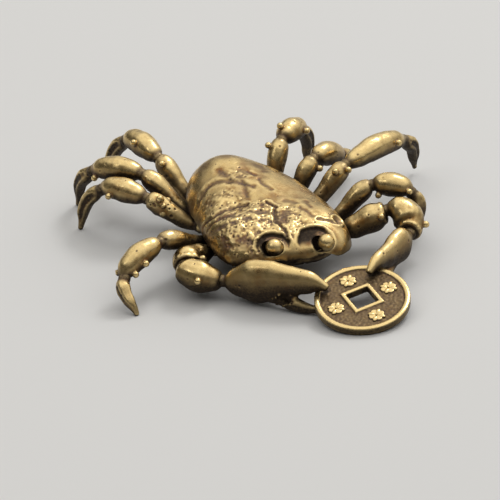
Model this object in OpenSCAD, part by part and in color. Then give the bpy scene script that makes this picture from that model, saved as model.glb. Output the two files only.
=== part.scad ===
// Small cast brass crab that holds a coin between its two claws.
// The crab faces -Y, its own left side is +X, and z = 0 is the surface that it stands on.
// Each casting is one solid. A round tenon on its inner end sits in a bore in the piece before it.

/* [Body] */
// Width of the shell across its widest part
body_w = 23.6; // [20:0.2:28]
// Length of the shell from front to back
body_l = 33; // [28:0.5:38]
// Height of the crown of the shell above the surface
body_h = 13.2; // [11.5:0.1:16]
// Height of the shell's lower edge, where it sits on the underbody
rim_z = 6.2; // [5.6:0.1:7]
// Height of the flat belly
belly_z = 2.6; // [2:0.1:3]
// How far the front of the shell is lower than its back
front_drop = 2.2; // [0:0.1:3]
// Diameter of the spigot that centres the shell on the underbody
spigot_d = 6; // [4:0.5:10]
// Height of that spigot
spigot_h = 1.6; // [0.8:0.1:2.5]

/* [Eyes] */
// Diameter of each eye ball
eye_d = 3; // [2:0.1:4]
// Diameter of the hollow that each eye sits in
socket_d = 5; // [4.2:0.1:5.2]
// Diameter of the stalk behind each eye
stalk_d = 1; // [0.6:0.1:1.4]

/* [Joints] */
// Diameter of every tenon
tenon_d = 1; // [0.7:0.05:1.2]
// Length of every tenon
tenon_len = 1.1; // [0.6:0.1:1.6]
// Clearance round a tenon, filled by the braze
fit = 0.05; // [0.02:0.01:0.1]
// Radius of the neck at the inner end of each limb piece
neck_r = 1; // [0.85:0.05:1.15]
// Radius of the collar that a neck sits on
collar_r = 1.2; // [1.15:0.05:1.35]
// Radius of each round seat on the underbody
seat_r = 1.35; // [1.25:0.05:1.45]
// How far each round seat stands out of the underbody's wall
seat_out = 0.8; // [0.5:0.1:1.2]

/* [Walking legs] */
// Height of the hips
hip_z = 4.4; // [4.2:0.1:4.6]
// Largest radius of the upper piece
upper_r = 1.8; // [1.4:0.1:2]
// Largest radius of the lower piece
lower_r = 2.2; // [1.5:0.1:2.5]
// Radius where the foot begins to taper
foot_r = 1.35; // [1:0.05:1.5]
// Radius of the foot's tip
toe_r = 0.45; // [0.3:0.05:0.6]
// Diameter of the small balls on the legs
stud_d = 0.9; // [0.6:0.05:1.1]

/* [Claws] */
// Largest radius of the arm, next to the body
arm_r = 2.6; // [2:0.1:3]
// Largest radius of the wrist
wrist_r = 2.9; // [2.2:0.1:3.2]
// Height of the right palm
palm_h = 8.2; // [6:0.2:9.5]
// Thickness of the right palm
palm_t = 5; // [3.6:0.2:6]
// Height and thickness of the left palm, as a share of the right one
left_palm = 0.78; // [0.6:0.02:1]
// Radius of the finger tips
finger_tip_r = 0.7; // [0.5:0.05:0.9]

/* [Coin] */
// Diameter of the coin
coin_d = 16.5; // [14:0.25:19]
// Thickness of the coin between its fields
coin_t = 1; // [0.9:0.05:1.6]
// Height of the rim, frame and ornaments above the field
relief = 0.2; // [0.1:0.05:0.3]
// Width of the raised rim
coin_rim_w = 0.9; // [0.5:0.05:1.3]
// Width of the square hole
hole_w = 4.2; // [3:0.1:5.5]
// Width of the raised frame round the hole
frame_w = 0.7; // [0.4:0.05:1]
// Lean of the coin towards the front, in degrees
coin_tilt = 14; // [12:1:24]

/* [Hidden] */
$fn = 32;
steps = 11;
sides = 14;
palm_sides = 18;
shell_sides = 56;
shell_rings = 15;

// The middle of the shell, from the middle of the ground that the whole figure covers
body_x = -2;
body_y = -0.34;
body = [body_x, body_y, 0];

// Edge of the shell from above, counter-clockwise from the front, where 1 is half its width or length
shell_edge = [
    [0.04, -0.97], [0.62, -1.0], [0.96, -0.80], [1.0, -0.42], [0.9, 0.0], [0.72, 0.42], [0.43, 0.79],
    [-0.04, 1.02], [-0.6, 1.02], [-0.87, 0.68], [-0.93, 0.2], [-1.0, -0.24], [-0.92, -0.63], [-0.5, -0.9]
];
// The flat seat under the shell is this share of its edge
seat_share = 0.9;
// The underbody is this share of the shell's edge at its top and at its belly
underbody_top = 0.84;
underbody_belly = 0.66;
// The shell's edge hangs this far below its seat, and this much further at the front corners
lip_h = 0.2;
corner_drop = 1.3;
// Squareness of the dome: 2 is an ellipse, and more is flatter on top and steeper at the sides
dome_power = 2.5;

// Swellings and hollows on the shell: middle as a share of the half sizes, spread and height
shell_relief = [
    [-0.62, -0.5, 4.2, 0.6], [0.1, 0.1, 5, 0.4], [-0.25, 0.85, 4, 2.8], [0.25, 0.62, 4, 0.2],
    [-0.42, -0.12, 2.2, -0.9], [0.52, -0.1, 3, -0.4], [0.0, -0.42, 2.6, -0.5], [0.55, -0.62, 3.5, 0.4]
];

// Places of the eyes as a place on the edge, a share of the way out to it, and a drop below the dome
right_eye_at = [13.42, 0.9, 0.2];
left_eye_at = [0.84, 0.93, 0.1];

// Places of the hips on the shell's edge, claw first and hind leg last
right_hips = [10.8, 10.2, 9.5, 8.9, 8.2];
left_hips = [3.0, 3.6, 4.7, 5.35, 6.0];

// Knee, ankle and toe of each leg: across and along from its hip, then height above the surface
leg_bends = [
    [[-10.8, -5.0, 8.4], [-18.8, -8.6, 5.0], [-18.4, -13.4, 0]],
    [[-7.8, 6.5, 8.6], [-13.6, 13.0, 8.6], [-17.0, 16.4, 0]],
    [[-7.2, 8.0, 10.4], [-13.5, 15.6, 9.0], [-15.0, 21.2, 0]],
    [[-4.2, 9.4, 10.2], [-6.7, 19.0, 9.8], [-9.6, 23.3, 0]],
    [[9.8, -0.3, 10.0], [15.6, -3.2, 8.7], [16.2, -1.8, 0]],
    [[9.8, 1.8, 10.3], [22.4, 8.2, 9.2], [25.8, 12.6, 1]],
    [[7.0, 2.9, 10.2], [13.4, 8.0, 7.2], [17.4, 12.8, 2]],
    [[5.6, 6.2, 11.7], [10.8, 11.2, 10.3], [12.9, 14.7, 0]]
];
leg_names = [
    "right_leg_1", "right_leg_2", "right_leg_3", "right_leg_4",
    "left_leg_1", "left_leg_2", "left_leg_3", "left_leg_4"
];
// Small balls on each leg: 0 for its upper piece or 1 for its lower one, share of the way along it, and angle
leg_studs = [
    [[1, 0.54, 0], [1, 0.88, -10], [1, 0.88, 190]],
    [[0, 0.78, 60], [1, 0.7, 345]],
    [[1, 0.9, 330]],
    [[0, 0.82, 45], [1, 0.42, 30]],
    [[1, 0.1, 225], [1, 0.9, 165]],
    [[0, 0.92, 165], [0, 0.78, 120], [1, 0.7, 165]],
    [[0, 0.88, 200], [1, 0.2, 270]],
    [[0, 0.82, 45], [1, 0.62, 180], [1, 0.14, 75]]
];
// Legs that pass under small arches in the shell's edge, and the radius of the arches
hind_legs = [2, 3, 6, 7];
arch_r = 2.25;

// Middle of the coin from the middle of the shell, and the turns of its lean and its square hole
coin_x = 7.5;
coin_y = -28.4;
coin_lean_turn = -18;
hole_turn = 26;

// Where each finger grips the coin: angle round it, and how far its tip reaches over or under the rim
right_top_grip = [162, 2.2];
right_low_grip = [180, 1];
left_top_grip = [75, 3];
left_low_grip = [61, 1.6];
grip_gap = 0.1;

claw_names = ["right_claw", "left_claw"];

// Small helpers for points and smooth values
function unit(v) = v / norm(v);
function blend(a, b, t) = a + (b - a) * t;
function ease(t) = t * t * (3 - 2 * t);
function wrap(i, n) = (i % n + n) % n;

// Smooth value at t in a list of [position, value] pairs
function along(t, pairs, i = 0) =
    i >= len(pairs) - 1 || t <= pairs[0][0] ? pairs[i][1]
    : t > pairs[i + 1][0] ? along(t, pairs, i + 1)
    : blend(pairs[i][1], pairs[i + 1][1], ease((t - pairs[i][0]) / (pairs[i + 1][0] - pairs[i][0])));

// Point on a closed smooth curve through a list of points, where u counts the points
function on_loop(points, u) =
    let (n = len(points), i = floor(u), t = u - i,
        a = points[wrap(i - 1, n)], b = points[wrap(i, n)],
        c = points[wrap(i + 1, n)], d = points[wrap(i + 2, n)])
    0.5 * (2 * b + (c - a) * t + (2 * a - 5 * b + 4 * c - d) * t * t + (3 * b - a - 3 * c + d) * t * t * t);

// Edge of the shell in millimetres from its middle
function edge(u) =
    let (p = on_loop(shell_edge, u))
    [p.x * body_w / 2, p.y * body_l / 2];

// Height that the relief adds at a point of the shell
function bump(p) =
    let (parts = [for (r = shell_relief)
        let (away = norm([p.x - r[0] * body_w / 2, p.y - r[1] * body_l / 2]))
        r[3] * exp(-away * away / (2 * r[2] * r[2]))])
    parts * [for (r = shell_relief) 1];

// Lower edge of the shell: it hangs below its seat, most at the two front corners
function forward(p) = max(0, min(1, 0.5 - p.y / body_l));
function lip_z(p) =
    rim_z - lip_h - corner_drop * ease(max(0, min(1, (forward(p) - 0.66) * 4))) * abs(p.x) / body_w * 2;

// Height of the shell at a share of the way out to a point of its edge
function dome_z(share, p) =
    let (rise = pow(max(0, 1 - pow(share, dome_power)), 1 / dome_power), low = lip_z(p))
    low + rise * (body_h - low - front_drop * ease(forward(p)) + bump(p));

// Point on the shell for a place on its edge and a share of the way out
function on_shell(u, share) =
    let (p = edge(u) * share)
    [p.x, p.y, dome_z(share, p)];

// Centre line of a limb piece from p to q that leaves along dp and arrives along dq
// The longer dp and dq are, the more the line bows
function centre(p, q, dp, dq, t) =
    let (reach = norm(q - p))
    p * (2 * t * t * t - 3 * t * t + 1) + q * (3 * t * t - 2 * t * t * t)
        + dp * reach * (t * t * t - 2 * t * t + t) + dq * reach * (t * t * t - t * t);
function heading(p, q, dp, dq, t) =
    let (reach = norm(q - p))
    unit((q - p) * (6 * t - 6 * t * t) + dp * reach * (3 * t * t - 4 * t + 1) + dq * reach * (3 * t * t - 2 * t));

// Ring of points round a centre line point: a is the half width, b the half height
function ring(c, d, side, a, b, n) =
    let (across = unit(side - (side * d) * d), up = cross(d, across))
    [for (k = [0 : n - 1]) c + across * a * cos(360 * k / n) + up * b * sin(360 * k / n)];

// Point and outward direction on the skin of a limb piece, at an angle round it
function skin(c, d, side, a, b, angle) =
    let (across = unit(side - (side * d) * d), up = cross(d, across),
        out = unit(across * cos(angle) + up * sin(angle)))
    [c + across * a * cos(angle) + up * b * sin(angle), out];

// Closed solid through a list of rings with equal counts of points
module loft(rings) {
    n = len(rings[0]);
    last = len(rings) - 1;
    points = [for (r = rings) for (p = r) p];
    sides_faces = [for (i = [0 : last - 1]) for (k = [0 : n - 1])
        let (a = i * n + k, b = i * n + (k + 1) % n, c = b + n, e = a + n)
        each [[a, e, c], [a, c, b]]];
    ends = [[for (k = [0 : n - 1]) k], [for (k = [n - 1 : -1 : 0]) last * n + k]];
    polyhedron(points, concat(sides_faces, ends), convexity = 6);
}

// A cylinder that starts at p and runs along d
module rod(p, d, r, h) {
    tilt = acos(unit(d).z);
    turn = atan2(d.y, d.x);
    translate(p) rotate([0, tilt, turn]) cylinder(r = r, h = h);
}

// Tenon that runs back from p into the piece before, and the bore that takes it
module tenon(p, d) {
    rod(p - d * tenon_len, d, tenon_d / 2, tenon_len + neck_r / 2);
}
module bore(p, d) {
    depth = tenon_len + fit;
    rod(p - d * depth, d, tenon_d / 2 + fit, depth + neck_r);
}

// Small ball on a short stalk, cast on the skin
module stud(spot) {
    reach = stud_d * 0.7;
    rod(spot[0] - spot[1] * stud_d / 2, spot[1], stud_d * 0.28, reach + stud_d / 2);
    translate(spot[0] + spot[1] * reach) sphere(d = stud_d);
}

// One limb piece from p to q with half width w and half height h along it
module limb(p, q, dp, dq, side, w, h, n = sides) {
    loft([for (i = [0 : steps])
        let (t = i / steps)
        ring(centre(p, q, dp, dq, t), heading(p, q, dp, dq, t), side, along(t, w), along(t, h), n)]);
}

// Walking legs

// Point on the wall of the underbody below a place on the shell's edge
function wall(places, i) = let (p = edge(places[i]) * underbody_top) body + [p.x, p.y, hip_z];
function leg_wall(k) = k < 4 ? wall(right_hips, k + 1) : wall(left_hips, k - 3);
function level(v) = unit([v.x, v.y, 0]);
function leg_joint(k, j) =
    let (from = leg_wall(k), bend = leg_bends[k][max(0, j - 1)])
    j == 0 ? from + level(bend) * seat_out : [from.x + bend.x, from.y + bend.y, bend.z];
function leg_way(k, j) = unit(leg_joint(k, j + 1) - leg_joint(k, j));
// Direction of the leg through each joint: out of the body, half way round each bend, down at the toe
function leg_dir(k, j) =
    j == 0 ? level(leg_way(k, 0))
    : j == 3 ? unit(leg_way(k, 2) + [0, 0, -0.8])
    : unit(leg_way(k, j - 1) + leg_way(k, j));
function leg_side(k) = unit(cross([0, 0, 1], leg_joint(k, 2) - leg_joint(k, 0)));

upper_shape = [[0, neck_r], [0.35, upper_r * 0.8], [0.78, upper_r], [0.93, upper_r * 0.9], [1, collar_r]];
lower_shape = [[0, neck_r], [0.16, lower_r * 0.82], [0.45, lower_r], [0.75, lower_r * 0.9], [1, collar_r]];
foot_shape = [[0, neck_r], [0.16, foot_r], [0.5, foot_r * 0.8], [1, toe_r]];
foot_bow = 1.5;
// Width of the block that the tips are filed flat with
file_w = 4 * foot_r;

module leg_piece(k, j, shape, bow = 1) {
    limb(leg_joint(k, j), leg_joint(k, j + 1), leg_dir(k, j) * bow, leg_dir(k, j + 1), leg_side(k), shape, shape);
}

module studs_on(k, j, shape) {
    for (s = leg_studs[k]) if (s[0] == j) {
        p = leg_joint(k, j);
        q = leg_joint(k, j + 1);
        dp = leg_dir(k, j);
        dq = leg_dir(k, j + 1);
        r = along(s[1], shape);
        stud(skin(centre(p, q, dp, dq, s[1]), heading(p, q, dp, dq, s[1]), leg_side(k), r, r, s[2]));
    }
}

module leg_upper(k) {
    color("darkgoldenrod") difference() {
        union() {
            leg_piece(k, 0, upper_shape);
            tenon(leg_joint(k, 0), leg_dir(k, 0));
            studs_on(k, 0, upper_shape);
        }
        bore(leg_joint(k, 1), leg_dir(k, 1));
    }
}

module leg_lower(k) {
    color("goldenrod") difference() {
        union() {
            leg_piece(k, 1, lower_shape);
            tenon(leg_joint(k, 1), leg_dir(k, 1));
            studs_on(k, 1, lower_shape);
        }
        bore(leg_joint(k, 2), leg_dir(k, 2));
    }
}

// The tip is filed flat where it stands on the surface
module leg_foot(k) {
    color("darkgoldenrod") difference() {
        union() {
            leg_piece(k, 2, foot_shape, foot_bow);
            tenon(leg_joint(k, 2), leg_dir(k, 2));
        }
        translate(leg_joint(k, 3) - [file_w / 2, file_w / 2, file_w + leg_bends[k][2].z]) cube(file_w);
    }
}

// Coin

coin_r = coin_d / 2;
lean = [0, 0, coin_lean_turn];
// The lower edge of the coin just touches the surface
coin_z = coin_r * sin(coin_tilt) + (coin_t / 2 + relief) * cos(coin_tilt);
coin_middle = body + [coin_x, coin_y, coin_z];

// A point in the coin's own plane, h above its middle plane, as a point of the part
function on_coin(p, h) =
    let (y = p.y * cos(coin_tilt) - h * sin(coin_tilt), z = p.y * sin(coin_tilt) + h * cos(coin_tilt),
        s = sin(coin_lean_turn), c = cos(coin_lean_turn))
    coin_middle + [p.x * c - y * s, p.x * s + y * c, z];
function grip_point(grip, h) = on_coin((coin_r - grip[1]) * [cos(grip[0]), sin(grip[0])], h);
finger_height = coin_t / 2 + relief + grip_gap + finger_tip_r;

// Each blossom has four round petals
petal_r = 0.6;
petal_out = 0.8;
module blossom() {
    for (k = [0 : 3]) rotate(90 * k) translate([petal_out, 0]) circle(r = petal_r);
}

module coin_relief() {
    difference() {
        circle(r = coin_r);
        circle(r = coin_r - coin_rim_w);
    }
    square(hole_w + 2 * frame_w, center = true);
    ornament_r = (coin_r - coin_rim_w + hole_w / 2 + frame_w) / 2;
    for (k = [0 : 3]) rotate(90 * k) translate([ornament_r, 0]) blossom();
}

module coin() {
    color("saddlebrown") translate(coin_middle) rotate(lean) rotate([coin_tilt, 0, 0]) rotate(hole_turn)
        difference() {
            union() {
                cylinder(r = coin_r, h = coin_t, center = true, $fn = 96);
                linear_extrude(coin_t + 2 * relief, center = true) coin_relief($fn = 96);
            }
            cube([hole_w, hole_w, 2 * coin_t + 4 * relief], center = true);
        }
}

// Space that the coin takes between the fingers
module coin_space() {
    translate(coin_middle) rotate(lean) rotate([coin_tilt, 0, 0])
        cylinder(r = coin_r + grip_gap, h = coin_t + 2 * (relief + grip_gap), center = true);
}

// Claws, where 0 is the right claw and 1 the left one

function claw_wall(c) = wall(c == 0 ? right_hips : left_hips, 0);
function claw_hip(c) = claw_wall(c) + level(elbow_from_hip[c]) * seat_out;
elbow_from_hip = [[-7.4, -5.1, 0.6], [9.6, -2.6, 3.3]];
knuckle_from_grip = [[-5.6, 4.4, 0.7], [5.6, 5.0, 0.2]];
palm_from_knuckle = [[-9.2, 8.0, -1.7], [5.9, 6.0, -0.3]];
low_root_from_knuckle = [[-4.4, 3.4, -1.6], [1.4, 2.8, -1.8]];
palm_share = [1, left_palm];
elbow_dirs = [unit([-0.3, -1, -0.1]), unit([1.2, -0.3, 0.4])];
palm_dirs = [unit([0.75, -0.65, 0]), unit([-0.6, -0.8, -0.1])];
knuckle_dirs = [unit([0.76, -0.65, 0.05]), unit([-0.7, -0.7, 0.1])];
tip_dirs = [unit([0.7, -0.6, -0.55]), unit([-0.6, -0.45, -0.6])];
low_root_dirs = [unit([0.7, -0.5, -0.3]), unit([-0.4, -0.6, -0.4])];
low_tip_dirs = [unit([0.75, -0.6, 0.2]), unit([-0.6, -0.75, 0.2])];

wrist_bow = [1.1, 1.6];
// Small balls on each claw: 0 for its arm or 1 for its wrist, share of the way along it, and angle
claw_studs = [
    [[0, 0.58, 285], [1, 0.58, 75]],
    [[0, 0.9, 75], [1, 0.78, 270]]
];

top_grips = [right_top_grip, left_top_grip];
low_grips = [right_low_grip, left_low_grip];
function finger_tip(c) = grip_point(top_grips[c], finger_height);
function low_tip(c) = grip_point(low_grips[c], -finger_height);
function knuckle(c) = finger_tip(c) + knuckle_from_grip[c];
function palm_root(c) = knuckle(c) + palm_from_knuckle[c];
function low_root(c) = knuckle(c) + low_root_from_knuckle[c];
function elbow(c) = claw_wall(c) + elbow_from_hip[c];
function arm_dir(c) = level(elbow_from_hip[c]);
function claw_side(c) = unit(cross([0, 0, 1], knuckle(c) - palm_root(c)));

arm_shape = [[0, neck_r], [0.4, arm_r * 0.8], [0.75, arm_r], [1, collar_r * 1.3]];
wrist_shape = [[0, neck_r], [0.2, wrist_r * 0.85], [0.55, wrist_r], [0.85, wrist_r * 0.75], [1, collar_r * 1.2]];
function palm_profile(size, end) =
    [[0, neck_r], [0.15, size * 0.62], [0.5, size], [0.75, size * 0.93], [1, end]];
function palm_half(c) = palm_share[c] * palm_h / 2;
function palm_thick(c) = palm_share[c] * palm_t / 2;
function finger_high(c) = palm_half(c) * 0.7;
function finger_wide(c) = palm_thick(c) * 0.8;
function finger_profile(c, size, margin) =
    [[0, size + margin], [0.45, size * 0.8 + margin], [1, finger_tip_r + margin]];
function low_profile(c) = [[0, palm_thick(c) * 0.8], [0.5, palm_thick(c) * 0.55], [1, finger_tip_r]];

module claw_studs_on(c, j, p, q, dp, dq, shape) {
    for (s = claw_studs[c]) if (s[0] == j) {
        r = along(s[1], shape);
        stud(skin(centre(p, q, dp, dq, s[1]), heading(p, q, dp, dq, s[1]), [0, 0, 1], r, r, s[2]));
    }
}

module claw_arm(c) {
    p = claw_hip(c);
    color("darkgoldenrod") difference() {
        union() {
            limb(p, elbow(c), arm_dir(c), elbow_dirs[c], [0, 0, 1], arm_shape, arm_shape);
            claw_studs_on(c, 0, p, elbow(c), arm_dir(c), elbow_dirs[c], arm_shape);
            tenon(p, arm_dir(c));
        }
        bore(elbow(c), elbow_dirs[c]);
    }
}

module claw_wrist(c) {
    p = elbow(c);
    q = palm_root(c);
    dp = elbow_dirs[c] * wrist_bow[c];
    dq = palm_dirs[c] * wrist_bow[c];
    color("goldenrod") difference() {
        union() {
            limb(p, q, dp, dq, [0, 0, 1], wrist_shape, wrist_shape);
            claw_studs_on(c, 1, p, q, dp, dq, wrist_shape);
            tenon(p, elbow_dirs[c]);
        }
        bore(q, palm_dirs[c]);
    }
}

module claw_palm(c) {
    p = palm_root(c);
    q = knuckle(c);
    high = palm_profile(palm_half(c), finger_high(c));
    wide = palm_profile(palm_thick(c), finger_wide(c));
    color("goldenrod") difference() {
        union() {
            limb(p, q, palm_dirs[c], knuckle_dirs[c], claw_side(c), wide, high, palm_sides);
            limb(low_root(c), low_tip(c), low_root_dirs[c], low_tip_dirs[c], claw_side(c),
                low_profile(c), low_profile(c));
            tenon(p, palm_dirs[c]);
        }
        finger_skin(c, grip_gap);
        bore(q, knuckle_dirs[c]);
        coin_space();
    }
}

// Upper finger, grown by a margin where another piece keeps clear of it
module finger_skin(c, margin = 0) {
    limb(knuckle(c), finger_tip(c), knuckle_dirs[c], tip_dirs[c], claw_side(c),
        finger_profile(c, finger_wide(c), margin), finger_profile(c, finger_high(c), margin));
}

module claw_finger(c) {
    color("goldenrod") difference() {
        union() {
            finger_skin(c);
            tenon(knuckle(c), knuckle_dirs[c]);
        }
        coin_space();
    }
}

// Eyes

function eye_point(at) = body + on_shell(at[0], at[1]) - [0, 0, at[2]];
// Each hollow opens forwards and to the crab's right, and its middle lies a little above its eye
socket_way = unit([-0.8, -0.4, 0.9]);
// Clearance between each eye ball and the nearest wall of its hollow
eye_gap = 0.2;
socket_shift = (socket_d - eye_d) / 2 - eye_gap;
// The eyes look forwards, out from under their brows
function eye_dir(at) = unit([edge(at[0]).x * 0.03, -1, 0.25]);

module eye(at) {
    back = eye_d / 2 + tenon_len;
    color("gold") union() {
        translate(eye_point(at)) sphere(d = eye_d);
        rod(eye_point(at) - eye_dir(at) * back, eye_dir(at), stalk_d / 2, back);
    }
}

module eye_socket(at) {
    back = eye_d / 2 + tenon_len + fit;
    translate(eye_point(at) + socket_way * socket_shift) sphere(d = socket_d);
    rod(eye_point(at) - eye_dir(at) * back, eye_dir(at), stalk_d / 2 + fit, back);
}

// Shell and underbody

module shell_skin() {
    seat = [for (k = [0 : shell_sides - 1])
        let (p = edge(k * len(shell_edge) / shell_sides) * seat_share)
        body + [p.x, p.y, rim_z]];
    dome = [for (i = [0 : shell_rings])
        let (share = pow(cos(84 * i / shell_rings), 0.8))
        [for (k = [0 : shell_sides - 1]) body + on_shell(k * len(shell_edge) / shell_sides, share)]];
    loft(concat([seat], dome));
}

module carapace() {
    color("goldenrod") difference() {
        shell_skin();
        for (at = [right_eye_at, left_eye_at]) eye_socket(at);
        translate(body + [0, 0, rim_z - 1]) cylinder(d = spigot_d + 2 * fit, h = spigot_h + fit + 1);
        for (k = hind_legs) rod(leg_joint(k, 0), leg_dir(k, 0), arch_r, 2 * arch_r);
    }
}

// Round seat on the wall of the underbody that a limb stands on
module seat(p, d) {
    root = seat_out + tenon_len;
    rod(p - d * root, d, seat_r, root);
}

// Rings of the underbody: height as a share from belly to rim, and share of the shell's edge
thorax_shape = [[0, underbody_belly], [0.12, 0.74], [0.4, 0.82], [1, underbody_top]];

module thorax() {
    color("saddlebrown") difference() {
        union() {
            loft([for (s = thorax_shape) [for (k = [0 : shell_sides - 1])
                let (p = edge(k * len(shell_edge) / shell_sides) * s[1])
                body + [p.x, p.y, blend(belly_z, rim_z, s[0])]]]);
            translate(body + [0, 0, rim_z - 1]) cylinder(d = spigot_d, h = spigot_h + 1);
            for (k = [0 : 7]) seat(leg_joint(k, 0), leg_dir(k, 0));
            for (c = [0, 1]) seat(claw_hip(c), arm_dir(c));
        }
        for (k = [0 : 7]) bore(leg_joint(k, 0), leg_dir(k, 0));
        for (c = [0, 1]) bore(claw_hip(c), arm_dir(c));
    }
}

carapace();
thorax();
eye(right_eye_at);  // right_eye
eye(left_eye_at);  // left_eye
for (k = [0 : 7]) {
    leg_upper(k);
    leg_lower(k);
    leg_foot(k);
}
for (c = [0, 1]) {
    claw_arm(c);
    claw_wrist(c);
    claw_palm(c);
    claw_finger(c);
}
coin();
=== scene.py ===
"""A small cast brass crab that holds a coin, with its worn antique finish, stage, lights and camera."""

import math

import bmesh
import bpy
import numpy as np
from bpy.props import FloatProperty, FloatVectorProperty, IntProperty, PointerProperty
from mathutils import Matrix, Vector, noise
from mathutils.bvhtree import BVHTree
from mathutils.kdtree import KDTree


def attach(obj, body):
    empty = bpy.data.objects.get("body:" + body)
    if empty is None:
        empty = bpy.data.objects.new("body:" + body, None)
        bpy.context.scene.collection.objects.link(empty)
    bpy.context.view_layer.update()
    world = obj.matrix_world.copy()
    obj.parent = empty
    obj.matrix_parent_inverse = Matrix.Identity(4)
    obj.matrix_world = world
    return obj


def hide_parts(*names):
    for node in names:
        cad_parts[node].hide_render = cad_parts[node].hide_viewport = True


bl_info = {
    "name": "Brass Crab",
    "version": (1, 0, 0),
    "blender": (4, 5, 0),
    "location": "3D View > Sidebar > Crab",
    "description": "Gives a cast brass crab its worn antique finish and sets it in a plain studio",
    "category": "Object",
}

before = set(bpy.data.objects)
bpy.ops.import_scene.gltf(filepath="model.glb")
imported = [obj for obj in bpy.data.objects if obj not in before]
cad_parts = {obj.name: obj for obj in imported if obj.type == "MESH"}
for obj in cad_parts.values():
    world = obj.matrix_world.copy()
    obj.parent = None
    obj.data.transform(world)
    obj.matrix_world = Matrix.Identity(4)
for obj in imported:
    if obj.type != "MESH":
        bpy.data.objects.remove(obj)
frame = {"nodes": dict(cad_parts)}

MM = 0.001
BODY = "root"

# The view's own directions: to the right, up, and away from the camera
VIEW_RIGHT = (0.951, -0.309, 0)
VIEW_UP = (0.144, 0.442, 0.885)
VIEW_AWAY = (0.27, 0.84, -0.465)

# All in millimetres: a stud's reach round its middle, its longest edge, and an eye's radius
STUD_REACH = 0.72
STUD_EDGE = 0.12
EYE_RADIUS = 1.5
# How far patina spreads from where two pieces meet
TOUCH = 1.3


class BrassFinish(bpy.types.PropertyGroup):
    """Colours and gloss of the worn brass."""

    bright: FloatVectorProperty(
        name="Rubbed brass", description="Colour of the high spots that hands keep bright",
        subtype="COLOR", size=3, min=0, max=1, default=(0.88, 0.665, 0.305))
    tone: FloatVectorProperty(
        name="Dull brass", description="Colour of the plain skin between the high spots and the grooves",
        subtype="COLOR", size=3, min=0, max=1, default=(0.375, 0.24, 0.087))
    warm: FloatVectorProperty(
        name="Warm tint", description="Colour of the orange stains on the dull brass",
        subtype="COLOR", size=3, min=0, max=1, default=(0.33, 0.135, 0.03))
    # Also the colour of painted shade on faces that point down and on the eye shelves
    dusty: FloatVectorProperty(
        name="Dusty patina", description="Colour of the grey patina in shallow grooves",
        subtype="COLOR", size=3, min=0, max=1, default=(0.15, 0.10, 0.078))
    # Also the colour of painted shade below the pieces, in closed-in places, in the eye sockets and in the
    # right claw's jaw
    dark: FloatVectorProperty(
        name="Dark patina", description="Colour of the patina in necks, sockets and deep grooves",
        subtype="COLOR", size=3, min=0, max=1, default=(0.026, 0.0155, 0.008))
    gloss: FloatProperty(
        name="Roughness", description="Roughness of the rubbed brass", subtype="FACTOR",
        min=0, max=1, default=0.24)
    dull: FloatProperty(
        name="Patina roughness", description="Roughness of the patina", subtype="FACTOR",
        min=0, max=1, default=0.62)


class CastDetail(bpy.types.PropertyGroup):
    """Sizes of the cast detail, in millimetres."""

    voxel: FloatProperty(
        name="Fineness", description="Size of the mesh's faces on the limbs",
        min=0.08, max=0.5, default=0.13)
    shell_voxel: FloatProperty(
        name="Shell fineness", description="Size of the mesh's faces on the shell",
        min=0.08, max=0.5, default=0.155)
    wobble: FloatProperty(
        name="Unevenness", description="Depth of the soft unevenness of the cast skin",
        min=0, max=0.3, default=0.06)
    stud: FloatProperty(
        name="Stud", description="Radius of the small balls cast on the limbs",
        min=0.2, max=0.8, default=0.6)
    groove: FloatProperty(
        name="Groove depth", description="Depth of the grooves on the shell, as a share of the usual depth",
        min=0, max=2, default=1)
    roughcast: FloatProperty(
        name="Rough casting", description="Depth of the rough patches on the front of the shell",
        min=0, max=0.4, default=0.22)


class Studio(bpy.types.PropertyGroup):
    """Camera, lights and floor."""

    azimuth: FloatProperty(
        name="Azimuth", description="Turn of the camera round the crab", subtype="ANGLE",
        default=math.radians(-18))
    elevation: FloatProperty(
        name="Elevation", description="Height of the camera above the horizon", subtype="ANGLE",
        default=math.radians(27.7))
    roll: FloatProperty(
        name="Roll", description="How far the camera leans to its right", subtype="ANGLE",
        default=math.radians(3.7))
    lens: FloatProperty(
        name="Lens", description="Focal length in millimetres on a 36 mm sensor",
        min=50, max=5000, default=1200)
    view_width: FloatProperty(
        name="View width", description="Width of what the camera sees at the crab", unit="LENGTH",
        default=0.0862)
    aim: FloatVectorProperty(
        name="Aim", description="Point that the camera looks at", subtype="TRANSLATION", size=3,
        default=(-0.0041, 0.00196, 0))
    floor: FloatVectorProperty(
        name="Floor", description="Colour of the floor", subtype="COLOR", size=3, min=0, max=1,
        default=(0.74, 0.74, 0.73))
    ceiling: FloatProperty(
        name="Ceiling", description="Brightness of the soft light overhead", min=0, max=3, default=1.1)
    horizon: FloatProperty(
        name="Horizon", description="Brightness of the soft light from the sides", min=0, max=2,
        default=0.1)
    key: FloatProperty(
        name="Key light", description="Power of the soft light behind and to the right", min=0,
        default=0.85)
    fill: FloatProperty(
        name="Fill light", description="Power of the soft light on the left", min=0, default=0.12)


def settings(context):
    return context.scene.crab_finish, context.scene.crab_detail, context.scene.crab_studio


# Meshes in millimetres


def read_points(mesh):
    flat = np.empty(len(mesh.vertices) * 3)
    mesh.vertices.foreach_get("co", flat)
    return flat.reshape(-1, 3)


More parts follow.
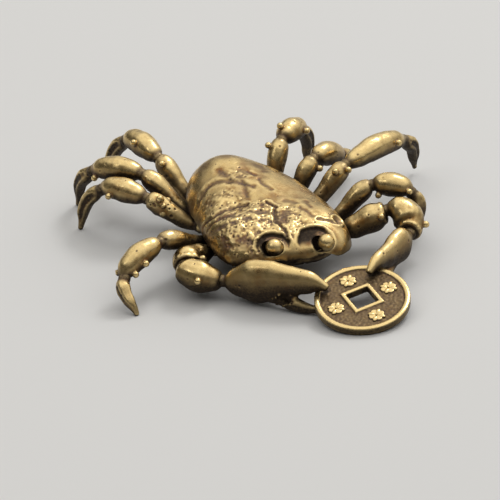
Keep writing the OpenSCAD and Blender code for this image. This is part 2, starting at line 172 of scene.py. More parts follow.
def merged_copy(node, grow=0.0, without=()):
    """A copy of a solid's mesh in millimetres, its loose triangles joined, grown a little all round.

    The small balls round the points to leave out are drawn in to the skin that they stand on.
    """
    solid = bmesh.new()
    solid.from_mesh(frame["nodes"][node].data)
    bmesh.ops.remove_doubles(solid, verts=solid.verts, dist=0.001 * MM)
    bmesh.ops.scale(solid, verts=solid.verts, vec=(1 / MM,) * 3)
    for ball in without:
        near = {v for v in solid.verts if (v.co - Vector(ball)).length < STUD_REACH}
        foot = [v for v in near if any(edge.other_vert(v) not in near for edge in v.link_edges)]
        seat = sum((v.co for v in foot), Vector()) / len(foot)
        for vertex in near.difference(foot):
            vertex.co = seat
    solid.normal_update()
    for vertex, way in [(v, v.normal.copy()) for v in solid.verts]:
        vertex.co += way * grow
    mesh = bpy.data.meshes.new(node + "_form")
    solid.to_mesh(mesh)
    solid.free()
    return mesh


def joined(meshes):
    """Some meshes as one."""
    whole = bmesh.new()
    for mesh in meshes:
        whole.from_mesh(mesh)
    result = bpy.data.meshes.new(meshes[0].name)
    whole.to_mesh(result)
    whole.free()
    return result


def modified(mesh, prepare):
    """The mesh that comes out of the modifiers that a function gives to a plain carrier."""
    carrier = bpy.data.objects.new(mesh.name, mesh)
    bpy.context.collection.objects.link(carrier)
    prepare(carrier)
    depsgraph = bpy.context.evaluated_depsgraph_get()
    result = bpy.data.meshes.new_from_object(carrier.evaluated_get(depsgraph))
    carrier.modifiers.clear()
    bpy.data.objects.remove(carrier)
    return result


def fine_mesh(mesh, voxel, melt=0):
    """The same closed form in small even faces, with its facets melted away in some steps."""
    def prepare(carrier):
        fine = carrier.modifiers.new("Fine", "REMESH")
        fine.mode = "VOXEL"
        fine.voxel_size = voxel
        if melt:
            smooth = carrier.modifiers.new("Melt", "SMOOTH")
            smooth.factor = 0.5
            smooth.iterations = melt
    return modified(mesh, prepare)


class Wax:
    """A fine closed mesh in millimetres, to be pushed and smoothed as a modeller works wax."""

    def __init__(self, mesh):
        self.mesh = mesh
        self.points = read_points(mesh)
        links = np.empty(len(mesh.edges) * 2, dtype=np.int64)
        mesh.edges.foreach_get("vertices", links)
        self.a, self.b = links.reshape(-1, 2).T
        self.count = np.bincount(links, minlength=len(self.points)).astype(float)

    def average(self, values):
        """The mean of each point's neighbours."""
        if values.ndim > 1:
            return np.stack([self.average(column) for column in values.T], axis=1)
        size = len(self.points)
        total = np.bincount(self.a, values[self.b], size) + np.bincount(self.b, values[self.a], size)
        return total / self.count

    def spread(self, values, steps):
        """The values smoothed over some steps."""
        for _ in range(steps):
            values = 0.5 * (values + self.average(values))
        return values

    def normals(self):
        """The mesh's normals, once it has been given the points as they are now."""
        self.mesh.vertices.foreach_set("co", self.points.ravel())
        self.mesh.update()
        flat = np.empty(len(self.points) * 3)
        self.mesh.vertices.foreach_get("normal", flat)
        return flat.reshape(-1, 3)

    def push(self, amount):
        """Moves each point out along its normal by an amount."""
        self.points = self.points + self.normals() * amount[:, None]

    def hollowness(self, steps):
        """How far each point lies below the surface smoothed over some steps, in millimetres."""
        return np.einsum("ij,ij->i", self.spread(self.points, steps) - self.points, self.normals())

    def give(self, name, values):
        """Stores a value for each point, for the material."""
        layer = self.mesh.attributes.new(name, "FLOAT", "POINT")
        layer.data.foreach_set("value", np.clip(values, 0, 1).astype(np.float32))


class Tree:
    """Small helper that adds and links nodes."""

    def __init__(self, tree):
        self.tree = tree

    def add(self, kind, inputs=None, **values):
        node = self.tree.nodes.new(kind)
        for name, value in values.items():
            setattr(node, name, value)
        for name, value in (inputs or {}).items():
            socket = node.inputs[name]
            if isinstance(value, bpy.types.NodeSocket):
                self.tree.links.new(value, socket)
            else:
                socket.default_value = value
        return node


class Growth(Tree):
    """A Geometry Nodes tree that sets copies of a form on points."""

    def __init__(self, name, inputs):
        tree = bpy.data.node_groups.new(name, "GeometryNodeTree")
        super().__init__(tree)
        tree.interface.new_socket("Points", in_out="INPUT", socket_type="NodeSocketGeometry")
        for label, kind in inputs.items():
            tree.interface.new_socket(label, in_out="INPUT", socket_type=kind)
        tree.interface.new_socket("Forms", in_out="OUTPUT", socket_type="NodeSocketGeometry")
        self.given = self.add("NodeGroupInput").outputs

    def moved(self, form, place=(0, 0, 0), turn=(0, 0, 0), scale=(1, 1, 1)):
        return self.add("GeometryNodeTransform", {
            "Geometry": form, "Translation": place, "Rotation": turn, "Scale": scale}).outputs[0]

    def facing(self, axis="Z"):
        """The turn that points an axis along the way stored with each point."""
        way = self.add("GeometryNodeInputNamedAttribute", {"Name": "way"}, data_type="FLOAT_VECTOR")
        turned = self.add("FunctionNodeAlignRotationToVector", {"Vector": way.outputs[0]}, axis=axis)
        return turned.outputs[0]

    def copies(self, points, form, turn=None):
        inputs = {"Points": points, "Instance": form}
        if turn is not None:
            inputs["Rotation"] = turn
        return self.add("GeometryNodeInstanceOnPoints", inputs).outputs[0]

    def together(self, forms):
        join = self.add("GeometryNodeJoinGeometry")
        for form in forms:
            self.tree.links.new(form, join.inputs[0])
        return join.outputs[0]

    def finish(self, *forms):
        real = self.add("GeometryNodeRealizeInstances", {"Geometry": self.together(forms)}).outputs[0]
        coated = self.add("GeometryNodeSetMaterial", {"Geometry": real, "Material": self.given["Material"]})
        self.add("NodeGroupOutput", {"Forms": coated.outputs[0]})

    def grow(self, points, ways, values):
        """The forms on some points, each with the way that it faces."""
        mesh = bpy.data.meshes.new("points")
        mesh.from_pydata([tuple(p) for p in points], [], [])
        layer = mesh.attributes.new("way", "FLOAT_VECTOR", "POINT")
        layer.data.foreach_set("vector", np.asarray(ways, dtype=np.float32).ravel())

        def prepare(carrier):
            modifier = carrier.modifiers.new("Growth", "NODES")
            modifier.node_group = self.tree
            for socket in self.tree.interface.items_tree:
                if socket.in_out == "INPUT" and socket.name in values:
                    modifier[socket.identifier] = values[socket.name]
        return modified(mesh, prepare)


def unevenness(points, size, seed):
    """Soft noise between -1 and 1, with lumps of about a size in millimetres."""
    shift = Vector((seed * 7.3, seed * 3.1, seed * 5.7))
    return np.array([noise.noise(Vector(p) / size + shift) for p in points])


def ease(values):
    """A smooth step from 0 at 0 to 1 at 1."""
    values = np.clip(values, 0, 1)
    return values * values * (3 - 2 * values)


def scatter(wax, weights, count, radius, depth, seed):
    """Presses round pits into the wax at seeded points, more of them where the weights are high."""
    weights = np.clip(weights, 0, None)
    if not weights.sum():
        return
    draw = np.random.default_rng(seed)
    places = draw.choice(len(wax.points), size=count, p=weights / weights.sum())
    tree = KDTree(len(wax.points))
    for i, p in enumerate(wax.points):
        tree.insert(p, i)
    tree.balance()
    amount = np.zeros(len(wax.points))
    for place in places:
        size = radius * draw.uniform(0.6, 1.3)
        deep = depth * draw.uniform(0.4, 1.2)
        for _, i, away in tree.find_range(wax.points[place], 2.5 * size):
            press = deep * math.exp(-(away / size) ** 4)
            amount[i] = max(amount[i], press, key=abs)
    wax.push(-amount)


def line_distance(points, line):
    """How far plan points lie from a line through some corners."""
    best = np.full(len(points), np.inf)
    for start, end in zip(line, line[1:]):
        start, way = np.array(start), np.array(end) - np.array(start)
        share = np.clip((points - start) @ way / (way @ way), 0, 1)
        best = np.minimum(best, np.linalg.norm(points - start - share[:, None] * way, axis=1))
    return best


def bell(values, width):
    """A smooth bump: 1 at 0, and nearly 0 past two widths."""
    return np.exp(-(values / width) ** 2)


# What keeps a hand from rubbing a spot bright, and the closed-in places that get patina and painted shade


def solid_tree(names):
    """A search tree of some solids, in millimetres."""
    corners, faces = [], []
    for name in names:
        mesh = frame["nodes"][name].data
        start = len(corners)
        corners.extend((read_points(mesh) / MM).tolist())
        faces.extend([start + v for v in face.vertices] for face in mesh.polygons)
    return BVHTree.FromPolygons(corners, faces)


def round_directions(count):
    """Even directions all round a ball."""
    steps = np.arange(count) + 0.5
    height = 1 - 2 * steps / count
    turn = math.pi * (1 + math.sqrt(5)) * steps
    flat = np.sqrt(1 - height ** 2)
    return np.stack([flat * np.cos(turn), flat * np.sin(turn), height], axis=1)


def closeness(wax, tree, reach=7.0, cell=0.7, count=40):
    """How closed in each point is, from 0 in the open to 1 in a hole, with the ground half counted.

    A ray that leaves a solid from inside isn't stopped, because the wax may lie under the solid's skin.
    """
    normals = wax.normals()
    ways = round_directions(count)
    cells = np.floor(np.column_stack([wax.points / cell, normals * 1.5]))
    _, first, place = np.unique(cells, axis=0, return_index=True, return_inverse=True)
    values = np.empty(len(first))
    for i, index in enumerate(first):
        normal = normals[index]
        start = Vector(wax.points[index] + normal * 0.25)
        facing = ways @ normal
        met = total = 0.0
        for k in np.nonzero(facing > 0.1)[0]:
            way = Vector(ways[k])
            total += facing[k]
            spot, outward = tree.ray_cast(start, way, reach)[:2]
            if spot is not None and outward.dot(way) < 0:
                met += facing[k]
            elif way.z < 0 and -start.z / way.z < reach:
                met += 0.5 * facing[k]
        values[i] = met / total
    return wax.spread(values[place.ravel()], 6)


def distance(points, tree, reach):
    """How far each point is from the solids of a tree, up to a reach."""
    far = np.full(len(points), float(reach))
    for i, p in enumerate(points):
        found = tree.find_nearest(Vector(p), reach)
        if found[0] is not None:
            far[i] = found[3]
    return far


# Materials


class Nodes(Tree):
    """A material's nodes."""

    def __init__(self, material):
        material.use_nodes = True
        super().__init__(material.node_tree)
        self.shader = self.tree.nodes["Principled BSDF"]

    def attribute(self, name):
        return self.add("ShaderNodeAttribute", attribute_name=name).outputs["Fac"]

    def cast_noise(self, size, detail, seed):
        """Noise on the piece's own coordinates, with lumps of a size in millimetres."""
        place = self.add("ShaderNodeTexCoord").outputs["Object"]
        moved = self.add("ShaderNodeMapping", {"Vector": place, "Location": (seed * 0.013, 0, 0)})
        grain = {"Vector": moved.outputs[0], "Scale": 1 / (size * MM), "Detail": detail}
        return self.add("ShaderNodeTexNoise", grain).outputs["Fac"]

    def blend(self, factor, a, b):
        node = self.add("ShaderNodeMix", data_type="RGBA")
        for name, value in (("Factor_Float", factor), ("A_Color", a), ("B_Color", b)):
            socket = next(s for s in node.inputs if s.identifier == name)
            if isinstance(value, bpy.types.NodeSocket):
                self.tree.links.new(value, socket)
            else:
                socket.default_value = value
        return next(s for s in node.outputs if s.identifier == "Result_Color")

    def math(self, operation, a, b=0.0, clamp=False):
        return self.add("ShaderNodeMath", {0: a, 1: b}, operation=operation, use_clamp=clamp).outputs[0]

    def stretch(self, value, low, high, to_low=0.0, to_high=1.0):
        limits = {"From Min": low, "From Max": high, "To Min": to_low, "To Max": to_high}
        return self.add("ShaderNodeMapRange", {"Value": value, **limits}).outputs[0]


def brass(finish, name, seed, gloss=None, stains=1.0):
    """Antique brass: rubbed bright on the high spots, dusty in shallow grooves, near black in deep ones,
    and grey to near black where the masks paint shade.
    """
    material = bpy.data.materials.new(name)
    nodes = Nodes(material)
    tone, bright, warm, dusty, deep = (
        (*colour, 1) for colour in (finish.tone, finish.bright, finish.warm, finish.dusty, finish.dark))
    broad = nodes.cast_noise(3.2, 3, seed)
    middle = nodes.cast_noise(0.9, 4, seed + 7)
    fine = nodes.cast_noise(0.3, 4, seed + 3)
    fine_speck = nodes.stretch(fine, 0.3, 0.7, -0.12, 0.12)
    speck = nodes.math("ADD", fine_speck, nodes.stretch(middle, 0.3, 0.7, -0.12, 0.12))
    worn = nodes.math("ADD", nodes.attribute("worn"), speck, True)
    base = nodes.blend(worn, tone, bright)
    unworn = nodes.math("SUBTRACT", 0.9, worn, True)
    stain = nodes.math("MULTIPLY", nodes.stretch(broad, 0.5, 0.68, 0, stains), unworn)
    base = nodes.blend(stain, base, warm)
    # The dust mask carries grey patina and painted shade
    dust_and_shade = nodes.math("ADD", nodes.attribute("dust_and_shade"), nodes.stretch(middle, 0.35, 0.75, -0.15, 0.2), True)
    dust_and_shade = nodes.math("MULTIPLY", dust_and_shade, nodes.stretch(fine, 0.25, 0.6, 0.55, 1))
    base = nodes.blend(dust_and_shade, base, dusty)
    # The dark mask carries patina in hollows and joints, and painted shade
    dark = nodes.math("ADD", nodes.attribute("dark"), nodes.stretch(fine, 0.35, 0.75, -0.1, 0.1), True)
    base = nodes.blend(dark, base, deep)
    covered = nodes.math("MAXIMUM", dark, nodes.math("MULTIPLY", dust_and_shade, 0.8))
    links = nodes.tree.links
    links.new(base, nodes.shader.inputs["Base Color"])
    rough = nodes.stretch(covered, 0, 1, gloss or finish.gloss, finish.dull)
    rough = nodes.math("ADD", rough, nodes.stretch(middle, 0.3, 0.7, -0.06, 0.08))
    links.new(rough, nodes.shader.inputs["Roughness"])
    links.new(nodes.stretch(covered, 0, 1, 1, 0.65), nodes.shader.inputs["Metallic"])
    grain = nodes.math("ADD", fine, nodes.math("MULTIPLY", middle, 1.5))
    bump = nodes.add("ShaderNodeBump", {"Height": grain, "Strength": 0.25, "Distance": 0.05 * MM})
    links.new(bump.outputs[0], nodes.shader.inputs["Normal"])
    return material


def place_piece(wax, name, material, nodes):
    """Turns the wax into a finished piece at the origin, in metres, that stands for its solids."""
    wax.normals()
    mesh = wax.mesh
    mesh.transform(Matrix.Scale(MM, 4))
    mesh.shade_smooth()
    mesh.materials.clear()
    mesh.materials.append(material)
    piece = bpy.data.objects.new(name, mesh)
    bpy.context.collection.objects.link(piece)
    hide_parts(*nodes)
    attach(piece, BODY)


def finish_wax(wax, tree, touching=None, deep=0.06, shine=0.0, dusty=0.0, patina_and_shade=0.0, shade=0.5):
    """Works out where the piece is rubbed bright, dusty and dark, from its own form and its neighbours,
    with painted shade on its undersides and in closed-in places.

    Hollows of about the deep value turn dark, and shade is how far the painted shade climbs from below.
    """
    closed = closeness(wax, tree)
    hollow = wax.hollowness(4) / deep
    broad_hollow = wax.hollowness(40)
    touch = 0.0 if touching is None else 1 - touching / TOUCH
    up = wax.normals()[:, 2]
    # Dark: closed-in places, as patina and as painted shade, since the ground counts as cover; patina where
    # pieces meet and in small hollows
    dark = ease((closed - 0.34) * 2.3) + 0.5 * ease(touch) + ease(hollow * 1.2 - 0.45)
    # Painted shade: darker the more a face points down
    dark = dark + ease(shade - 0.9 * up) + patina_and_shade
    # Dusty: grey patina in shallow hollows, closed-in places and where pieces meet, and painted shade on
    # faces that point sideways and down
    dust_and_shade = ease(hollow * 2.2) + 0.6 * ease((closed - 0.2) * 1.8) + 0.5 * ease(0.6 - up)
    dust_and_shade = dust_and_shade + 0.9 * ease(1.3 * touch) + dusty
    worn = shine + 0.35 * ease(0.6 - closed) + 0.35 * ease(up) - hollow - broad_hollow * 6 - dusty
    wax.give("dark", dark)
    wax.give("dust_and_shade", dust_and_shade * (1 - np.clip(dark, 0, 1) * 0.5))
    wax.give("worn", worn)


# Pieces

LEGS = [f"{side}_leg_{number}" for side in ("right", "left") for number in (1, 2, 3, 4)]
LEG_PARTS = ("upper", "lower", "foot")
CLAWS = ("right_claw", "left_claw")


def stud_centres(mesh):
    """Middles of the small balls on a solid, the only round things with edges this short on all sides."""
    points = read_points(mesh)
    links = np.empty(len(mesh.edges) * 2, dtype=np.int64)
    mesh.edges.foreach_get("vertices", links)
    a, b = links.reshape(-1, 2).T
    longest = np.zeros(len(points))
    for ends in (a, b):
        np.maximum.at(longest, ends, np.linalg.norm(points[a] - points[b], axis=1))
    left = points[longest < STUD_EDGE]
    centres = []
    while len(left):
        near = np.linalg.norm(left - left[0], axis=1) < 1
        ball, left = left[near], left[~near]
        if len(ball) > 60:
            sides = np.column_stack([2 * ball, np.ones(len(ball))])
            centres.append(np.linalg.lstsq(sides, (ball ** 2).sum(axis=1), rcond=None)[0][:3])
    return centres


def stud_growth():
    """Balls on short stalks that point along each point's way."""
    growth = Growth("Studs", {"Radius": "NodeSocketFloat", "Material": "NodeSocketMaterial"})
    radius = growth.given["Radius"]
    ball = growth.add("GeometryNodeMeshIcoSphere", {"Radius": radius, "Subdivisions": 3}).outputs[0]
    depth = 0.9
    stalk = growth.add("GeometryNodeMeshCylinder", {"Vertices": 14, "Radius": 0.27, "Depth": depth})
    stalk = growth.moved(stalk.outputs[0], place=(0, 0, -depth / 2))
    points = growth.given["Points"]
    growth.finish(growth.copies(points, ball), growth.copies(points, stalk, growth.facing()))
    return growth


def bare_limb(names, voxel, melt, grow=0.0):
    """The wax of one or more solids as one casting without its studs, and the middles of those studs."""
    studs = {name: stud_centres(merged_copy(name)) for name in names}
    forms = [merged_copy(name, grow, studs[name]) for name in names]
    wax = Wax(fine_mesh(joined(forms), voxel, melt))
    wax.push(np.full(len(wax.points), 0.03 - grow))
    return wax, [centre for name in names for centre in studs[name]]


def neck(names, before):
    """Middle and radius of the end that a piece sets on the piece before it."""
    points = np.concatenate([read_points(frame["nodes"][name].data) for name in names]) / MM
    far = distance(points, solid_tree(before), 3)
    seat = points[far < max(0.02, far.min() + 0.01)]
    middle = seat.mean(axis=0)
    return middle, np.clip(np.linalg.norm(seat - middle, axis=1).max(), 0.8, 1.1)


def with_balls(wax, voxel, growth, values, neck_ball, studs):
    """The wax with a ball that fills its neck, and with its studs set on its skin."""
    ways = wax.normals()
    middle, radius = neck_ball
    forms = [wax.mesh, growth.grow([middle], [(0, 0, 1)], {**values, "Radius": float(radius)})]
    if studs:
        nearest = [np.linalg.norm(wax.points - centre, axis=1).argmin() for centre in studs]
        seats = wax.points[nearest] + ways[nearest] * values["Radius"] * 0.35
        forms.append(growth.grow(seats, ways[nearest], values))
    return Wax(fine_mesh(joined(forms), voxel, 2))


def on_studs(wax, studs):
    """How far each point lies on one of the small balls, which are rubbed bright."""
    far = np.full(len(wax.points), 9.0)
    for centre in studs:
        far = np.minimum(far, np.linalg.norm(wax.points - centre, axis=1))
    return ease((1.2 - far) / 0.5)


def finish_limb(wax, tree, neighbours, studs, patina_and_shade, shade, dusty=0.0):
    """Finishes a piece of a limb: dark where it meets its neighbours, bright on its studs."""
    rubbed = on_studs(wax, studs)
    touching = distance(wax.points, solid_tree(neighbours), TOUCH)
    finish_wax(
        wax, tree, touching, shine=0.4 * rubbed, dusty=dusty, patina_and_shade=patina_and_shade - 0.7 * rubbed, shade=shade)


def roughen(wax, wobble, seed, pits):
    """The soft unevenness and the small pits of a sand casting."""
    soft = unevenness(wax.points, 1.7, seed)
    wax.push(wobble * soft + 0.15 * wobble * unevenness(wax.points, 0.6, seed + 1))
    scatter(wax, np.ones(len(wax.points)), pits, 0.2, 0.1, seed)


def eye_ball(name):
    """Middle of an eye's ball, in millimetres."""
    box = read_points(frame["nodes"][name].data) / MM
    return np.array((box[:, 0].mean(), box[:, 1].min() + EYE_RADIUS, box[:, 2].max() - EYE_RADIUS))


class CRAB_OT_shell(bpy.types.Operator):
    """Makes the domed shell with its grooves, pits and eye sockets"""

    bl_idname = "crab.shell"
    bl_label = "Shell"

    # All from the middle of the shell, in millimetres
    # Grooves: corners, then depth, width and height of the raised lips
    grooves = (
        (((-11.4, -1.0), (-10.0, -2.0), (-8.5, -2.4), (-7.0, -2.3), (-5.2, -2.1), (-3.8, -2.6)),
         0.34, 0.42, 0.06),
        (((-10.8, -3.4), (-9.5, -4.0), (-8.0, -4.5), (-6.5, -4.6)), 0.2, 0.3, 0.06),
        (((-0.3, -3.8), (0.4, -5.6), (-0.4, -7.2), (-0.7, -9.5), (-0.4, -11.5), (-0.3, -13.5)),
         0.26, 0.3, 0.12),
        (((-10.0, 4.6), (-8.8, 5.6), (-7.4, 5.9), (-6.0, 5.6), (-4.4, 4.6)), 0.14, 0.5, 0.08),
        (((-4.7, 8.2), (-4.3, 6.3), (-3.9, 4.6)), 0.1, 0.6, 0.02),
        (((-4.2, 4.2), (-2.6, 3.0), (-1.2, 1.2)), 0.14, 0.55, 0.03),
        (((-2.4, 3.0), (-2.6, 1.2), (-2.9, -0.6)), 0.14, 0.6, 0.04),
        (((2.4, 7.8), (2.6, 5.6)), 0.1, 0.7, 0.02),
        (((0.5, 2.6), (0.9, 0.9), (1.5, -0.5)), 0.1, 0.45, 0.02),
        (((-0.4, 5.8), (0.4, 4.2)), 0.08, 0.35, 0.02),
        (((6.0, -5.4), (6.1, -7.6)), 0.08, 0.5, 0.02),
        (((4.4, -7.4), (5.4, -10.2)), 0.1, 0.5, 0.02),
        (((2.6, -4.4), (4.2, -5.6)), 0.06, 0.5, 0.02),
        (((6.2, -11.2), (8.2, -11.9), (9.4, -12.3)), 0.16, 0.26, 0.06),
    )
    # Soft lobes: middle, two radii and height
    lobes = (
        (-8.2, -7.0, 2.2, 3.2, 0.35), (-7.2, 1.4, 2.6, 2.2, 0.35), (-3.2, -6.6, 2.0, 2.8, 0.15),
        (1.4, -8.4, 1.4, 3.0, 0.3), (0.8, -13.2, 1.4, 1.6, 0.2), (-5.5, 8.5, 3.4, 3.0, 0.15),
        (9.2, -9.0, 1.6, 3.0, 0.2),
    )
    # Rough patches: middle, two radii and strength
    patches = (
        (-8.2, -7.4, 2.8, 4.4, 1.0), (-6.8, 0.6, 3.2, 2.2, 0.45), (-3.2, -6.8, 2.6, 4.0, 1.0),
        (1.6, -9.6, 2.4, 3.8, 0.8), (-5.4, -12.4, 2.0, 2.0, 0.8), (-2.0, 5.8, 2.4, 1.6, 0.5),
    )
    # Middle of the oval ring
    ring = (9.6, -11.3)
    # Each eye's socket: middle of its brow from the eye, radius of the brow, width of the pit beside it
    sockets = {"right_eye": ((-0.2, 0, 0), 3.0, 0.6), "left_eye": ((-1.7, 0.6, 0), 3.2, 0.8)}
    # The hollow that the solid has for each eye: its middle from the eye, and its radius
    hollow = np.array((-0.504, -0.252, 0.567))
    hollow_radius = 2.5

    def execute(self, context):
        finish, detail, _ = settings(context)
        wax = Wax(fine_mesh(merged_copy("carapace"), detail.shell_voxel, 30))
        self.draw_in(wax)
        wax = Wax(fine_mesh(wax.mesh, detail.shell_voxel, 3))
        box = read_points(frame["nodes"]["carapace"].data) / MM
        middle = (box.max(axis=0) + box.min(axis=0))[:2] / 2
        outside = ease(wax.normals()[:, 2] * 2 + 0.7)
        plan = wax.points[:, :2] - middle
        rough = np.clip(self.spots(plan, self.patches, 4), 0, 1) * outside
        wax.push(outside * self.spots(plan, self.lobes, 2))
        marks = self.carve(wax, plan, outside, detail)
        coarse = unevenness(wax.points, 1.6, 4) + 0.4 * unevenness(wax.points, 0.6, 5)
        wax.push(detail.roughcast * rough * 1.2 * coarse)
        wax.push(outside * 0.05 * unevenness(wax.points, 2.4, 6))
        scatter(wax, rough, 170, 0.17, 0.14, 7)
        scatter(wax, rough, 120, 0.26, -0.1, 10)
        scatter(wax, outside * (1 - rough), 70, 0.14, 0.07, 8)
        shelf, pit, brow, near = self.open_sockets(wax)
        stains = ease(unevenness(wax.points, 2.6, 9) * 1.6 - 0.1)
        dusty = marks * 0.75 + 0.8 * rough * ease(0.2 - 1.6 * coarse) + 0.35 * outside * stains
        # Patina in the grooves; painted shadow on the eye shelves, along the brow lines and in the pits
        # beside the eyes
        patina_and_shade = 0.6 * ease(1.6 * marks - 0.9) + 0.9 * pit + 1.1 * brow + 1.15 * shelf
        # The eye shelves also turn grey with painted shade
        finish_wax(
            wax, solid_tree(frame["nodes"]), shine=0.1 * rough + 0.5 * rough * ease(2 * coarse),
            dusty=dusty + 0.6 * shelf + 0.08, patina_and_shade=patina_and_shade - 0.9 * near * (1 - pit), deep=0.08, shade=0.62)
        place_piece(wax, "carapace_cast", brass(finish, "Carapace brass", 1), ["carapace"])
        return {"FINISHED"}

    def spots(self, plan, spots, power):
        """The sum of some soft spots at each plan point, with steeper edges for a higher power."""
        x, y = plan.T
        return sum(
            strength * np.exp(-((x - left) / width) ** power - ((y - front) / length) ** power)
            for left, front, width, length, strength in spots)

    def beside(self, ways):
        """How far each way from an eye points to the pit beside it."""
        return ease(ways @ (-0.93, 0.3, -0.2) * 1.5 - 0.5)

    def draw_in(self, wax):
        """Draws the wall of each hollow in to the eye, but for a pit beside it."""
        depth = 1.6
        for eye, (_, _, pit) in self.sockets.items():
            ball = eye_ball(eye)
            away = wax.points - ball
            far = np.linalg.norm(away, axis=1)
            ways = away / far[:, None]
            along = ways @ self.hollow
            wall = along + np.sqrt(self.hollow_radius ** 2 - self.hollow @ self.hollow + along ** 2)
            share = np.clip((far - wall) / depth, 0, 1) ** 2
            drawn = EYE_RADIUS + pit * self.beside(ways)
            nearer = drawn + share * (wall + depth - drawn)
            wax.points = ball + ways * np.where(far < wall + depth, nearer, far)[:, None]
        wax.normals()

    def open_sockets(self, wax):
        """Sinks a shelf under a brow line over each eye; the shelf, the brow line and the pit beside the
        eye get painted shadow.

        Returns how far each point lies on a shelf, in a pit, on a brow line and close round an eye.
        """
        masks = np.zeros((4, len(wax.points)))
        for eye, (shift, radius, _) in self.sockets.items():
            away = wax.points - eye_ball(eye)
            far = np.linalg.norm(away, axis=1)
            above = ease(0.4 + away @ VIEW_UP / 2.0)
            past = np.linalg.norm(away - shift, axis=1) + 0.2 * unevenness(wax.points, 1.1, 12) - radius
            shelf = ease(-past / 0.35) * above
            wax.push(above * (0.14 * bell(past - 0.4, 0.35) - 0.15 * bell(past + 0.15, 0.25)))
            wax.push(-0.3 * shelf * ease((far - EYE_RADIUS) / 0.5))
            pit = self.beside(away / far[:, None]) * ease((2.8 - far) / 0.5)
            brow = bell(past + 0.15, 0.32) * above
            masks = np.maximum(masks, (shelf, pit, brow, ease((3.0 - far) / 0.8)))
        return masks

    def carve(self, wax, plan, outside, detail):
        """Cuts the grooves and the oval ring, and returns how far each point lies in a groove."""
        drift = np.column_stack([
            0.3 * unevenness(wax.points, 1.2, seed) + 0.14 * unevenness(wax.points, 0.5, seed + 2)
            for seed in (1, 2)])
        amount = np.zeros(len(plan))
        inside = np.zeros(len(plan))
        for corners, depth, width, lip in self.grooves:
            away = line_distance(plan + drift, corners)
            cut = bell(away, width)
            amount += lip * bell(away - 2 * width, width) - depth * cut
            inside = np.maximum(inside, cut * min(1, 0.4 + 2 * depth))
        beneath = 9 * (outside < 0.5)
        spot = wax.points[(np.linalg.norm(plan - self.ring, axis=1) + beneath).argmin()]
        ring = np.linalg.norm(wax.points - spot, axis=1)
        amount += 0.28 * bell(ring - 1.2, 0.3) - 0.3 * bell(ring, 0.6)
        inside = np.maximum(inside, 0.9 * bell(ring, 0.7))
        wax.push(amount * outside * detail.groove)
        return inside * outside


class CRAB_OT_underbody(bpy.types.Operator):
    """Makes the underbody with its belly plates, darkened by painted shade as it faces down"""

    bl_idname = "crab.underbody"
    bl_label = "Underbody"

    def execute(self, context):
        finish, detail, _ = settings(context)
        wax = Wax(fine_mesh(merged_copy("thorax"), 0.2, 6))
        belly = ease(-wax.normals()[:, 2] * 3 - 1.5)
        x, y, _ = (wax.points - (wax.points.max(axis=0) + wax.points.min(axis=0)) / 2).T
        plates = np.abs((y + 0.04 * x * x) / 3.6 % 1 - 0.5) * 3.6
        flap = np.abs(np.abs(x) - np.clip(2.6 - 0.14 * (y + 8), 0.6, 3))
        wax.push(-belly * 0.22 * np.maximum(bell(plates, 0.22), bell(flap, 0.22)))
        wax.push(detail.wobble * unevenness(wax.points, 1.4, 3))
        finish_wax(wax, solid_tree(frame["nodes"]))
        material = brass(finish, "Underbody brass", 2)
        place_piece(wax, "underbody_cast", material, ["thorax"])
        return {"FINISHED"}


class CRAB_OT_eyes(bpy.types.Operator):
    """Makes the two eye balls"""

    bl_idname = "crab.eyes"
    bl_label = "Eyes"

    def execute(self, context):
        finish, _, _ = settings(context)
        material = brass(finish, "Eye brass", 3, 0.26)
        tree = solid_tree(frame["nodes"])
        for name in ("right_eye", "left_eye"):
            wax = Wax(fine_mesh(merged_copy(name), 0.1, 5))
            wax.push(0.05 * unevenness(wax.points, 1.0, 2))
            finish_wax(wax, tree, shine=0.6, patina_and_shade=-0.45)
            place_piece(wax, name + "_ball", material, [name])
        return {"FINISHED"}


